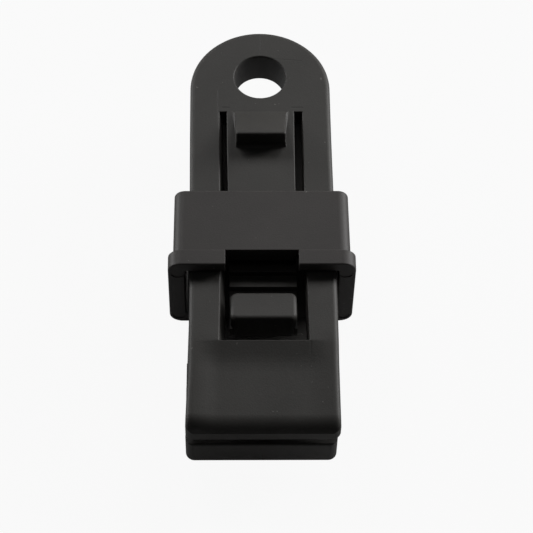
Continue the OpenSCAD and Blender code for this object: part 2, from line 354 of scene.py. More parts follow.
def rounded(corners):
    """The points of an outline with corners (a, b, radius), each rounded by its radius."""
    points = []
    for i, (a, b, radius) in enumerate(corners):
        here = Vector((a, b))
        if not radius:
            points.append(here)
            continue
        before = (Vector(corners[i - 1][:2]) - here).normalized()
        after = (Vector(corners[(i + 1) % len(corners)][:2]) - here).normalized()
        half = before.angle(after) / 2
        centre = here + (before + after).normalized() * radius / math.sin(half)
        first = here + before * radius / math.tan(half) - centre
        last = here + after * radius / math.tan(half) - centre
        turn = math.pi - 2 * half
        steps = math.ceil(turn / math.pi * (16 + 4 * radius))
        points += [centre + first.slerp(last, k / steps) * radius for k in range(steps + 1)]
    return [p for i, p in enumerate(points) if (p - points[i - 1]).length > 1e-4]


def quarter(radius, steps):
    """The points of a rounded corner, as their distances from the corner's two sides."""
    turns = [math.pi / 2 * i / steps for i in range(steps + 1)]
    return [(radius * (1 - math.cos(turn)), radius * (1 - math.sin(turn))) for turn in turns]


def mirrored(side):
    """An outline that is the same left and right, from its corners (x, y, radius) on one side."""
    other = [(-x, y, radius) for x, y, radius in side]
    return [other[0], *side, *other[:0:-1]]


def swept(points, place, way):
    """A closed solid: an outline's points, set in space by place and swept along way."""
    mesh = bmesh.new()
    face = mesh.faces.new([mesh.verts.new(place(*p)) for p in points])
    moved = bmesh.ops.extrude_face_region(mesh, geom=[face])["geom"]
    verts = [v for v in moved if isinstance(v, bmesh.types.BMVert)]
    bmesh.ops.translate(mesh, verts=verts, vec=way)
    bmesh.ops.recalc_face_normals(mesh, faces=mesh.faces)
    return mesh


def across(corners, width):
    """An outline drawn in Y and Z, swept across the clip."""
    return swept(rounded(corners), lambda y, z: (-width / 2, y, z), (width, 0, 0))


def upright(corners, low, high):
    """An outline drawn in X and Y, swept upwards from low to high."""
    return swept(rounded(corners), lambda x, y: (x, y, low), (0, 0, high - low))


def lengthwise(corners, rear, front):
    """An outline drawn in X and Z, swept along the clip."""
    return swept(rounded(corners), lambda x, z: (x, rear, z), (0, front - rear, 0))


def rectangle(low, high, radius=0):
    """The corners of a rectangle from low to high."""
    return [
        (low[0], low[1], radius),
        (high[0], low[1], radius),
        (high[0], high[1], radius),
        (low[0], high[1], radius),
    ]


def block(low, high):
    """A plain block from low to high, to part or cut with."""
    mesh = bmesh.new()
    bmesh.ops.create_cube(mesh, size=1)
    size = Vector(high) - Vector(low)
    bmesh.ops.scale(mesh, vec=size, verts=mesh.verts)
    bmesh.ops.translate(mesh, vec=Vector(low) + size / 2, verts=mesh.verts)
    return mesh


def pin(low_r, high_r, low, high):
    """An upright round pin between two levels, on the Z axis."""
    mesh = bmesh.new()
    bmesh.ops.create_cone(
        mesh, cap_ends=True, segments=96, radius1=low_r, radius2=high_r, depth=high - low
    )
    bmesh.ops.translate(mesh, vec=(0, 0, (low + high) / 2), verts=mesh.verts)
    return mesh


def placed(name, data):
    """A new object in the scene."""
    made = bpy.data.objects.new(name, data)
    bpy.context.scene.collection.objects.link(made)
    return made


def holding(name, mesh):
    """A new object in the scene that holds a mesh."""
    data = bpy.data.meshes.new(name)
    mesh.to_mesh(data)
    mesh.free()
    return placed(name, data)


def taken(main, *others):
    """The first object's finished mesh; the passing objects are removed with their meshes."""
    mesh = bmesh.new()
    mesh.from_object(main, bpy.context.evaluated_depsgraph_get())
    for made in (main, *others):
        bpy.data.meshes.remove(made.data)
    return mesh


def combined(first, second, how):
    """Two solids joined, cut or intersected: UNION, DIFFERENCE or INTERSECT."""
    main, tool = holding("work", first), holding("tool", second)
    cut = main.modifiers.new("cut", "BOOLEAN")
    cut.operation = how
    cut.solver = "EXACT"
    cut.object = tool
    return taken(main, tool)


def stationed(mesh, stations, axis=1):
    """A mesh with edges added round it at places along an axis, where it is to bend."""
    for place in stations:
        bmesh.ops.bisect_plane(
            mesh,
            geom=[*mesh.verts, *mesh.edges, *mesh.faces],
            plane_co=[place if i == axis else 0 for i in range(3)],
            plane_no=[1 if i == axis else 0 for i in range(3)],
        )
    return mesh


def parted(mesh, region):
    """A solid in two: what lies inside a region, and what lies outside it."""
    inside = combined(mesh.copy(), region.copy(), "INTERSECT")
    return inside, combined(mesh, region, "DIFFERENCE")


def edges_rounded(mesh, radius_at):
    """A solid whose sharp edges are rounded by the radius that radius_at gives for each."""
    bmesh.ops.dissolve_limit(
        mesh, angle_limit=math.radians(0.2), verts=mesh.verts, edges=mesh.edges
    )
    layers = mesh.edges.layers.float
    weight = layers.get("bevel_weight_edge") or layers.new("bevel_weight_edge")
    for edge in mesh.edges:
        edge[weight] = 0
        if len(edge.link_faces) == 2 and edge.calc_face_angle() > SHARP:
            first, last = (v.co for v in edge.verts)
            radius = radius_at((first + last) / 2, (last - first).normalized(), edge.is_convex)
            edge[weight] = radius / WIDEST
    main = holding("work", mesh)
    bevel = main.modifiers.new("rounding", "BEVEL")
    bevel.limit_method = "WEIGHT"
    bevel.width = WIDEST
    bevel.segments = EDGE_STEPS
    bevel.use_clamp_overlap = False
    bevel.loop_slide = False
    return taken(main)


def finished(name, mesh, material):
    """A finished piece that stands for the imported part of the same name."""
    bmesh.ops.scale(mesh, vec=(1 / WORK,) * 3, verts=mesh.verts)
    piece = holding(name + "_surface", mesh)
    piece.data.materials.append(material)
    piece.data.shade_smooth()
    piece.data.set_sharp_from_angle(angle=SHARP)
    even = piece.modifiers.new("Even shading", "WEIGHTED_NORMAL")
    even.keep_sharp = True
    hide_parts(name)
    return piece


# Shapes of the sprung body


def places(sizes):
    """Places and levels that several members share, in millimetres."""
    top, bottom = EYELET_HIGH.z, EYELET_LOW.z
    hinge = Vector(JOINTS["arm_spread"]["pos_m"]) * WORK
    travel = [t * WORK for t in JOINTS["collar_slide"]["range_m"]]
    window_y = COLLAR_LOW.y - sizes.window_reach
    notch_y = COLLAR_LOW.y + sizes.flange_l + FIT_GAP
    catch_y = notch_y + sizes.catch_l
    return SimpleNamespace(
        half=sizes.body_w / 2,
        top=top,
        bottom=bottom,
        slot_y=SLOT_Y,
        window_y=window_y,
        knee_y=window_y + SIDE_KNEE,
        bar_y=ARM_LOW.y,
        tip_y=JAW_LOW.y,
        bite_z=ARM_LOW.z,
        lower_bite_z=ARM_LOW.z - sizes.bite_gap,
        jaw_bottom=LOWER_JAW_LOW.z,
        hinge=Vector((hinge.y, hinge.z)),
        travel=travel,
        cam_ratio=COUPLINGS["arm_spread"]["ratio"] / WORK,
        roof_z=top + sizes.roof_gap,
        floor_z=top + sizes.roof_gap - sizes.collar_inner_h,
        collar_front=COLLAR_LOW.y,
        collar_rear=COLLAR_HIGH.y,
        crest_z=top - sizes.crest_depth,
        valley_z=top - sizes.crest_depth - sizes.ratchet_h,
        web_z=TONGUE_LOW.z,
        notch_y=notch_y,
        catch_y=catch_y,
        first_crest_y=catch_y + FIT_GAP / 2 - sizes.ratchet_pitch,
        trough_y=catch_y + travel[1] + 4 * FIT_GAP,
    )


def gripping_teeth(sizes, at, z, height, shift):
    """Corners of a row of gripping teeth, rearwards from the lip; half of each stands proud."""
    start = at.tip_y + sizes.tooth_pitch * 2 / 3
    count = math.floor((at.bar_y - start) / sizes.tooth_pitch - 1 / 2)
    end = start + sizes.tooth_pitch * (count + 1 / 2)
    corners = [(start, z, 0), (start, z - height / 2, 0)]
    for i in range(count):
        for step, side in ((shift / 2, -1), ((shift + 1) / 2, 1)):
            corners.append((start + sizes.tooth_pitch * (i + step), z + side * height / 2, 0))
    corners.append((start + sizes.tooth_pitch * (count + shift / 2), z - height / 2, 0))
    corners += [(end, z - height / 2, 0), (end, z, 0)]
    return [c for i, c in enumerate(corners) if c != corners[i - 1]]


def eased(value, start, end):
    """How far a value is on its way from start to end, from 0 to 1, eased at both ends."""
    share = min(1, max(0, (value - start) / (end - start)))
    return share * share * (3 - 2 * share)


def fallen(stops, y):
    """How far a profile has dropped at y: straight between its stops, softened round each.

    Each stop gives its place, its drop and how far the softening reaches to either side.
    """
    drop = 0
    for (rear, high, _), (front, low, _) in zip(stops, stops[1:]):
        if y < rear:
            drop = high + (low - high) * min(1, (rear - y) / (rear - front))
    for (rear, first, _), (knee, level, soft), (front, last, _) in zip(
        stops, stops[1:], stops[2:]
    ):
        if abs(y - knee) < soft:
            change = (last - level) / (knee - front) - (level - first) / (rear - knee)
            drop += change * (soft - abs(y - knee)) ** 2 / (4 * soft)
    return drop


def drop_at(sizes, at, x, y):
    """How far the upper slab's top has dropped: scoop, side slopes and the round nose."""
    tip = (at.tip_y, sizes.tip_drop, 0)
    middle = [(0, 0, 0), (at.window_y, 0, 0), (at.bar_y, sizes.scoop_drop, KNEE_SOFT), tip]
    side_tip = (at.tip_y, sizes.tip_drop - (sizes.jaw_twist if x < 0 else 0), 0)
    side = [(0, 0, 0), (at.knee_y, 0, SIDE_SOFT), side_tip]
    edge = sizes.scoop_w / 2
    share = eased(abs(x), edge - SCOOP_SOFT, edge + SCOOP_SOFT)
    drop = fallen(middle, y) * (1 - share) + fallen(side, y) * share
    # The nose bends down from the slope to the upright lip, and runs on straight ahead of it
    way = (at.tip_y + sizes.nose_l - y) / sizes.nose_l
    if way > 0:
        end = tip[1] * (1 - share) + side_tip[1] * share
        height = at.top - end - at.bite_z - sizes.lip_h
        bend = math.sin(sizes.nose_turn)
        flat = math.cos(sizes.nose_turn)
        sunk = (1 - math.sqrt(1 - (bend * min(1, way)) ** 2)) / (1 - flat)
        sunk += max(0, way - 1) * bend**2 / flat / (1 - flat)
        drop += height * sunk
    return drop


def tip_waste(sizes, at):
    """What is cut off in front of the upper jaw's tip, round its two corners."""
    wide, radius = sizes.upper_jaw_w / 2, sizes.corner_r
    arc = [(wide - inwards, at.tip_y + back, 0) for inwards, back in quarter(radius, 8)]
    outer = [(wide + OVERRUN, y, 0) for y in (at.tip_y - 2 * OVERRUN, at.tip_y + radius)]
    return upright(mirrored([*outer, *arc]), at.bottom - OVERRUN, at.top)


def upper_slab(sizes, at):
    """The eyelet, rails, bar and upper jaw, before the window and the hole are cut."""
    wide = sizes.upper_jaw_w / 2
    ahead = OVERRUN / 2
    spread = (wide - at.half) * ahead / (at.bar_y - at.tip_y)
    left = [
        (-at.half, EYELET_HIGH.y, at.half),
        (-at.half, at.bar_y, 0),
        (-wide - spread, at.tip_y - ahead, 0),
    ]
    plate = upright(mirrored(left), at.bottom, at.top)

    def plate_radius(middle, way, convex):
        if abs(way.z) > ALONG or middle.y < at.tip_y:
            return 0
        return sizes.top_edge_r if middle.z > 0 else sizes.bottom_edge_r

    plate = edges_rounded(plate, plate_radius)
    stations = [at.window_y]
    for knee, soft in ((at.knee_y, SIDE_SOFT), (at.bar_y, KNEE_SOFT)):
        stations += [knee + soft * (1 - i / SOFT_STEPS) for i in range(2 * SOFT_STEPS + 1)]
    stations += [at.tip_y + sizes.nose_l * (1 - i / NOSE_STEPS) for i in range(NOSE_STEPS + 1)]
    edge = sizes.scoop_w / 2
    columns = [side * (edge + SCOOP_SOFT * i / 2) for side in (-1, 1) for i in range(-2, 3)]
    stationed(plate, stations)
    for vert in stationed(plate, columns, 0).verts:
        if vert.co.z > at.top - sizes.top_edge_r - NEAR:
            vert.co.z -= drop_at(sizes, at, vert.co.x, vert.co.y)
    plate = combined(plate, tip_waste(sizes, at), "DIFFERENCE")
    under = across(
        [
            (at.tip_y - OVERRUN, at.bite_z, 0),
            *gripping_teeth(sizes, at, at.bite_z, -sizes.tooth_h, 0),
            (at.window_y, at.bite_z, RADII.bite_root),
            (at.window_y, at.top - sizes.rail_front_t, RADII.bite_root),
            (at.slot_y, at.top - sizes.rail_root_t, RADII.rail_root),
            (at.slot_y, at.bottom - OVERRUN, 0),
            (at.tip_y - OVERRUN, at.bottom - OVERRUN, 0),
        ],
        3 * at.half,
    )
    return combined(plate, under, "DIFFERENCE")


def window_opening(sizes, at):
    """What the two slots and the window take out, narrower below by the mould's draft."""
    half = sizes.window_w / 2
    right = [
        (half + sizes.window_flare, at.window_y, 0),
        (half, at.collar_front, 0),
        (half + sizes.rail_taper, at.slot_y, 0),
    ]
    mesh = upright(mirrored(right), at.bite_z - OVERRUN, at.top + OVERRUN)
    lower = [v for v in mesh.verts if v.co.z < 0]
    deeper = 1 + 2 * OVERRUN / (at.top - at.bite_z)
    bmesh.ops.scale(mesh, vec=(1 - sizes.rail_draft / half * deeper, 1, 1), verts=lower)
    bmesh.ops.translate(mesh, vec=(sizes.rail_lean * deeper, 0, 0), verts=lower)
    return mesh


def lower_arm_solid(sizes, at):
    """The lower arm and jaw: outside, the wedge that the collar's floor runs on."""
    low, high = at.travel
    steps = 16
    edge = Vector((at.collar_front, at.floor_z + FIT_GAP)) - at.hinge
    cam = []
    for i in range(steps + 1):
        slid = high + (low - high) * i / steps
        turn = Matrix.Rotation(-at.cam_ratio * slid, 2)
        cam.append(at.hinge + turn @ (edge + Vector((slid, 0))))
    inner = [(y, z + sizes.lower_arm_t, 0) for y, z in reversed(cam)]
    knuckle = sizes.lower_root_t / 2
    step_z = at.jaw_bottom + sizes.lower_arm_t - sizes.bite_gap / 2
    side = across(
        [
            (at.slot_y + OVERRUN, at.bottom, 0),
            (at.hinge.x, at.bottom, RADII.lower_root),
            *((y, z, 0) for y, z in cam),
            (at.bar_y, at.jaw_bottom, 0),
            (at.tip_y, at.jaw_bottom, 0),
            (at.tip_y, at.lower_bite_z, 0),
            *gripping_teeth(sizes, at, at.lower_bite_z, sizes.tooth_h, 1),
            (at.window_y, at.lower_bite_z, RADII.bite_root),
            (at.window_y, step_z, RADII.lower_step),
            *inner,
            (at.hinge.x, at.hinge.y + knuckle, RADII.lower_root),
            (at.slot_y + OVERRUN, at.hinge.y + knuckle, 0),
        ],
        2 * JAW_HIGH.x + OVERRUN,
    )
    left = [
        (-at.half, at.slot_y + 2 * OVERRUN, 0),
        (-at.half, at.bar_y, 0),
        (-sizes.lower_jaw_w / 2, at.tip_y, sizes.corner_r),
    ]
    plan = upright(mirrored(left), LOWER_LOW.z - OVERRUN, at.top)
    return combined(side, plan, "INTERSECT")


def tongue_solid(sizes, at):
    """The sprung tongue, with the ratchet's teeth and the web under the button."""
    count = 2 + math.floor(at.travel[1] / sizes.ratchet_pitch)
    crests = [at.first_crest_y + sizes.ratchet_pitch * (i - 1) for i in range(count)]
    teeth = []
    for y in reversed(crests):
        teeth += [(y, at.crest_z, 0), (y, at.valley_z, 0)]
    haunch = at.trough_y + 2 * sizes.tongue_t
    side = across(
        [
            (at.slot_y + OVERRUN, at.top, 0),
            (at.trough_y + sizes.crest_depth / 4, at.top, 0),
            (at.trough_y, at.valley_z, 0),
            (crests[-1] + sizes.ratchet_pitch, at.valley_z, 0),
            *teeth,
            (BUTTON_LOW.y, at.valley_z, 0),
            (BUTTON_LOW.y, at.web_z, 0),
            (at.trough_y, at.web_z, RADII.web),
            (haunch, at.top - sizes.tongue_t, RADII.web),
            (at.slot_y + OVERRUN, at.top - sizes.tongue_t, 0),
        ],
        2 * TONGUE_HIGH.x + OVERRUN,
    )
    half = sizes.tongue_w / 2
    right = [
        (half, BUTTON_LOW.y, 0),
        (half, BUTTON_HIGH.y, 0),
        (TONGUE_HIGH.x, at.slot_y, 0),
        (TONGUE_HIGH.x, at.slot_y + OVERRUN, 0),
    ]
    plan = upright(mirrored(right), at.web_z - OVERRUN, at.top + OVERRUN)
    return combined(side, plan, "INTERSECT")


def button_solid(sizes, at):
    """The thumb button, with rounded top edges, higher in front."""
    half = sizes.button_w / 2
    rear, front = BUTTON_HIGH.y + BUTTON_BACK, BUTTON_LOW.y - BUTTON_AHEAD
    corners = rectangle((-half, front), (half, rear), sizes.button_r)
    pad = upright(corners, at.web_z, at.top)

    def pad_radius(middle, way, convex):
        return sizes.button_edge_r if middle.z > at.top - NEAR and abs(way.z) < ALONG else 0

    pad = edges_rounded(pad, pad_radius)
    for vert in pad.verts:
        if vert.co.z > 0:
            share = (rear - vert.co.y) / (rear - front)
            vert.co.z += (BUTTON_HIGH.z - at.top) * share
    return pad


def tab_solid(sizes, at):
    """The stop tab: a ramp from the eyelet and an upright face in front, on a hollow foot."""
    crown_r = 1
    crown = (TAB_HIGH.z - at.top) / 5
    slope = (TAB_HIGH.z - at.top) / (TAB_HIGH.y - TAB_LOW.y - crown)
    side = across(
        [
            (TAB_LOW.y - 3 * OVERRUN, at.top - OVERRUN, 0),
            (TAB_LOW.y - 3 * OVERRUN, TAB_HIGH.z, 0),
            (TAB_LOW.y + crown, TAB_HIGH.z, crown_r),
            (TAB_HIGH.y + OVERRUN / slope, at.top - OVERRUN, 0),
        ],
        2 * TONGUE_HIGH.x + OVERRUN,
    )
    radius = sizes.tab_fillet
    steps = 8
    faded = 0.1
    rings = [(-OVERRUN, radius), *quarter(radius, steps), (TAB_HIGH.z - at.top + OVERRUN, 0)]
    stack = bmesh.new()
    loops = []
    for z, spread in rings:
        # The hollow is widest beside the ramp's root and fades towards the face
        front = TAB_LOW.y - spread / 2
        flank = []
        for i in range(steps + 1):
            way = i / steps
            y = front + (TAB_HIGH.y - front) * way
            flank.append((TAB_HIGH.x + spread * max(faded, way**2), y))
        flank.append((TAB_HIGH.x + spread, TAB_HIGH.y + 3 * OVERRUN))
        outline = flank + [(-x, y) for x, y in reversed(flank)]
        loops.append([stack.verts.new((x, y, at.top + z)) for x, y in outline])
    for below, above in zip(loops, loops[1:]):
        for i in range(len(below)):
            stack.faces.new([below[i - 1], below[i], above[i], above[i - 1]])
    stack.faces.new(loops[0])
    stack.faces.new(loops[-1])
    bmesh.ops.recalc_face_normals(stack, faces=stack.faces)
    return combined(side, stack, "INTERSECT")


def lower_edge_radius(sizes, at):
    """The rounding of the lower arm's outer edges, which spares the eyelet and the bite."""
    upright_from = 0.9
    eyelet_x = at.half - 3
    bite_z, bite_y = at.lower_bite_z - 0.5, at.bar_y + 5

    def radius_at(middle, way, convex):
        x, y, z = abs(middle.x), middle.y, middle.z
        if not convex or abs(way.z) > upright_from or x < eyelet_x and at.slot_y < y:
            return 0
        if z > bite_z and y < bite_y:
            return 0
        return RADII.lower_jaw if y < at.bar_y else sizes.bottom_edge_r

    return radius_at


def lip_rounding(sizes, at):
    """What the rounded upper edge of the lower jaw's lip takes off."""
    radius = sizes.lip_r
    ahead, above = at.tip_y - OVERRUN, at.lower_bite_z + OVERRUN / 2
    arc = [(at.tip_y + back, at.lower_bite_z - down, 0) for back, down in quarter(radius, 6)]
    corners = [(ahead, at.lower_bite_z - radius, 0), *arc]
    corners += [(at.tip_y + radius, above, 0), (ahead, above, 0)]
    return across(corners, 3 * at.half)


def inner_edge_radius(sizes, at):
    """The rounding of the rope hole's rim and of the edges along the window and the slots."""
    hole_r = sizes.rope_hole_d / 2
    widest = sizes.window_w / 2 + sizes.window_flare + sizes.rail_taper

    def radius_at(middle, way, convex):
        x, y, z = abs(middle.x), middle.y, middle.z
        if math.hypot(x, y) < hole_r + NEAR:
            return RADII.hole_top if z > 0 else RADII.hole_bottom
        if x > widest or not at.window_y - NEAR < y < at.slot_y + NEAR:
            return 0
        if not convex or abs(way.z) > ALONG:
            return 0
        if abs(z - at.crest_z) < NEAR and abs(way.x) > ALONG:
            return RADII.crest
        if z < at.top - NEAR:
            return 0
        return RADII.window_front if abs(y - at.window_y) < NEAR else RADII.slots

    return radius_at


def tab_edge_radius(middle, way, convex):
    """The rounding of the stop tab's top edges, which ends on the ramp and above the foot."""
    foot_z, ramp_y = TONGUE_HIGH.z + 1.5, TAB_HIGH.y - 3
    return RADII.tab if convex and middle.z >= foot_z and middle.y <= ramp_y else 0


def bow_at(sizes, at, y, name):
    """How far the long arms have set sideways in the mould, at a place along the clip."""
    if name.startswith("lower"):
        return -sizes.lower_bow * eased(y, at.collar_front, at.bar_y)
    if name in ("latch_tongue", "thumb_button"):
        return sizes.tongue_bow * eased(y, at.slot_y, BUTTON_HIGH.y)
    return sizes.upper_bow * (eased(y, at.slot_y, at.collar_front) - eased(y, at.window_y, at.tip_y))


def whole_moulding(sizes, at):
    """The sprung body as it is moulded, in one piece, with its edges rounded."""
    whole = combined(upper_slab(sizes, at), window_opening(sizes, at), "DIFFERENCE")
    hole_r = sizes.rope_hole_d / 2
    draft = sizes.hole_draft / 2 * (1 + 2 * OVERRUN / (at.top - at.bottom))
    hole = pin(hole_r - draft, hole_r, at.bottom - OVERRUN, at.top + OVERRUN)
    whole = combined(whole, hole, "DIFFERENCE")
    whole = combined(whole, tongue_solid(sizes, at), "UNION")
    whole = edges_rounded(whole, inner_edge_radius(sizes, at))
    whole = combined(whole, button_solid(sizes, at), "UNION")
    tab = edges_rounded(tab_solid(sizes, at), tab_edge_radius)
    whole = combined(whole, tab, "UNION")
    lower_arm = edges_rounded(lower_arm_solid(sizes, at), lower_edge_radius(sizes, at))
    lower_arm = combined(lower_arm, lip_rounding(sizes, at), "DIFFERENCE")
    return combined(whole, lower_arm, "UNION")


def members(whole, sizes, at):
    """The moulding parted into its members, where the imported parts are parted."""
    reach = 60
    made = {}
    rear = block((-reach, ROOT_Y, -reach), (reach, reach, reach))
    made["rope_eyelet"], whole = parted(whole, rear)
    gap_z = (at.bite_z + at.lower_bite_z) / 2
    root_gap_z = (at.top - sizes.rail_root_t + at.bottom + sizes.lower_root_t) / 2
    above = across(
        [
            (ROOT_Y + OVERRUN, root_gap_z, 0),
            (at.window_y, gap_z, 0),
            (at.tip_y - OVERRUN, gap_z, 0),
            (at.tip_y - OVERRUN, reach, 0),
            (ROOT_Y + OVERRUN, reach, 0),
        ],
        reach,
    )
    upper, lower = parted(whole, above)
    beside = 0.3
    between = TONGUE_HIGH.x + beside
    inner = block((-between, at.window_y + OVERRUN, -reach), (between, reach, reach))
    latch, upper = parted(upper, inner)
    front = block((-reach, -2 * reach, -reach), (reach, at.bar_y, reach))
    made["upper_jaw"], made["upper_arm"] = parted(upper, front.copy())
    made["lower_jaw"], made["lower_arm"] = parted(lower, front)
    skim = 0.02
    standing = block((-reach, TAB_LOW.y - 5 * OVERRUN, at.top + skim), (reach, reach, reach))
    made["stop_tab"], latch = parted(latch, standing)
    pad = block((-reach, -2 * reach, -reach), (reach, BUTTON_HIGH.y + beside, reach))
    made["thumb_button"], made["latch_tongue"] = parted(latch, pad)
    return made


@functools.cache
def sprung_body():
    """The sprung body's members by name, each a closed mesh, with the sideways set of each."""
    sizes = in_millimetres(bpy.context.scene.clip_sizes)
    at = places(sizes)
    made = members(whole_moulding(sizes, at), sizes, at)
    spans = 12
    stations = [at.slot_y + (at.tip_y - at.slot_y) * i / spans for i in range(1, spans)]
    for name, mesh in made.items():
        for vert in stationed(mesh, stations).verts:
            vert.co.x += bow_at(sizes, at, vert.co.y, name)
    return made


def member(name, body):
    """One member of the sprung body, dressed and riding on its body."""
    mesh = sprung_body()[name].copy()
    plastic = moulded_plastic("Moulded body", "body_colour", MOULD_MARKS)
    made = finished(name, mesh, plastic)
    if body:
        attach(made, body)
    return made


def bending_member(name, body):
    """A member whose root bends between the sprung body and its own body."""
    stations = [ROOT_Y - BEND_L * i / BEND_STEPS for i in range(BEND_STEPS + 1)]
    stationed(sprung_body()[name], stations)
    made = member(name, None)
    start, end = (0, ROOT_Y / WORK, 0), (0, (ROOT_Y - BEND_L) / WORK, 0)
    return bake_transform(made, "sprung_body", body, start, end)


# Shapes of the collar


def collar_solid(sizes, at):
    """The collar: a drafted sleeve with a flange, a notch and a catch."""
    front_half = COLLAR_HIGH.x - sizes.flange_side
    rear_half = front_half - sizes.collar_draft / 2
    inner = rear_half - sizes.collar_wall
    outer_r = sizes.flange_r - sizes.flange_side / 2
    top, bottom = at.roof_z + sizes.collar_wall, at.floor_z - sizes.collar_wall
    front, rear = at.collar_front, at.collar_rear
    shell = lengthwise(rectangle((-rear_half, bottom), (rear_half, top), outer_r), rear, front)
    forward = [v for v in shell.verts if v.co.y < front + NEAR]
    bmesh.ops.scale(shell, vec=(front_half / rear_half, 1, 1), verts=forward)
    flange_half = front_half + sizes.flange_side
    low = (-flange_half, bottom - sizes.flange_bottom)
    high = (flange_half, top + sizes.flange_top)
    flange = lengthwise(rectangle(low, high, sizes.flange_r), front + sizes.flange_l, front)
    solid = combined(shell, flange, "UNION")
    sleeve = lengthwise(
        rectangle((-inner, at.floor_z), (inner, at.roof_z), sizes.inner_r),
        rear + OVERRUN,
        front - OVERRUN,
    )
    solid = combined(solid, sleeve, "DIFFERENCE")
    notch = block(
        (-sizes.notch_w / 2, front - OVERRUN, at.roof_z - OVERRUN),
        (sizes.notch_w / 2, at.notch_y, high[1] + OVERRUN),
    )
    solid = combined(solid, notch, "DIFFERENCE")
    edge_z, root_z = at.crest_z + FIT_GAP, at.roof_z + SUNK
    catch = across(
        [
            (at.notch_y, root_z, 0),
            (at.notch_y, edge_z + sizes.ratchet_h / 2, 0),
            (at.notch_y + sizes.catch_l / 2, edge_z, 0),
            (at.catch_y, edge_z, 0),
            (at.catch_y, root_z, 0),
        ],
        sizes.tongue_w - 4 * FIT_GAP,
    )
    return combined(solid, catch, "UNION")


def collar_edge_radius(sizes, at):
    """The rule that gives each sharp edge of the collar its rounding."""
    inner = COLLAR_HIGH.x - sizes.flange_side - sizes.collar_draft / 2 - sizes.collar_wall

    def radius_at(middle, way, convex):
        x, y, z = abs(middle.x), middle.y, middle.z
        outside = x > inner + NEAR or z > at.roof_z + NEAR or z < at.floor_z - NEAR
        if x < sizes.notch_w / 2 + NEAR and z > at.crest_z and y < at.catch_y + NEAR:
            return RADII.notch if convex and z > at.roof_z else 0
        if not convex:
            return RADII.flange_root if outside else 0
        if outside and abs(y - at.collar_rear) < NEAR:
            return RADII.collar_rear
        if outside and abs(y - at.collar_front) < NEAR:
            return RADII.collar_front
        return RADII.collar

    return radius_at


def pin_marks(sizes, at):
    """The shallow round marks that ejector pins leave in the flange's front face."""
    x = COLLAR_HIGH.x - sizes.flange_side * 2
    radius = sizes.pin_mark_d / 2
    levels = [COLLAR_HIGH.z - PIN_MARKS_IN[0], COLLAR_LOW.z + PIN_MARKS_IN[1]]
    made = []
    for side in (-1, 1):
        for z in levels:
            mark = pin(radius, radius, -PIN_MARK_DEPTH, PIN_MARK_DEPTH)
            bmesh.ops.rotate(mark, matrix=Matrix.Rotation(math.pi / 2, 3, "X"), verts=mark.verts)
            bmesh.ops.translate(mark, vec=(side * x, at.collar_front, z), verts=mark.verts)
            made.append(mark)
    return made


# Finish


def fed(tree, made, inputs):
    """A node whose inputs, by name or number, get plain values or links from other sockets."""
    for key, value in inputs.items():
        if isinstance(value, bpy.types.NodeSocket):
            tree.links.new(value, made.inputs[key])
        else:
            made.inputs[key].default_value = value
    return made


def node(tree, kind, inputs=None, **values):
    """A new shader node, with its attributes set and its inputs fed."""
    made = tree.nodes.new("ShaderNode" + kind)
    for name, value in values.items():
        setattr(made, name, value)
    return fed(tree, made, inputs or {})


def joined(tree, how, first, second):
    """The result of a Math node on two sockets or numbers."""
    return node(tree, "Math", {0: first, 1: second}, operation=how).outputs[0]


def noise(tree, place, scale, detail, roughness=0.5):
    """A Noise texture at a place; its scale is a socket or a number."""
    inputs = {"Vector": place, "Scale": scale, "Detail": detail, "Roughness": roughness}
    return node(tree, "TexNoise", inputs, noise_dimensions="3D").outputs["Fac"]


def new_group(name, inputs, outputs):
    """A node group, the sockets of its inputs (name, kind, default), and its output node."""
    tree = bpy.data.node_groups.new(name, "ShaderNodeTree")
    for label, kind, default in inputs:
        made = tree.interface.new_socket(label, in_out="INPUT", socket_type="NodeSocket" + kind)
        made.default_value = default
    for label, kind in outputs:
        tree.interface.new_socket(label, in_out="OUTPUT", socket_type="NodeSocket" + kind)
    given = tree.nodes.new("NodeGroupInput").outputs
    return tree, given, tree.nodes.new("NodeGroupOutput")


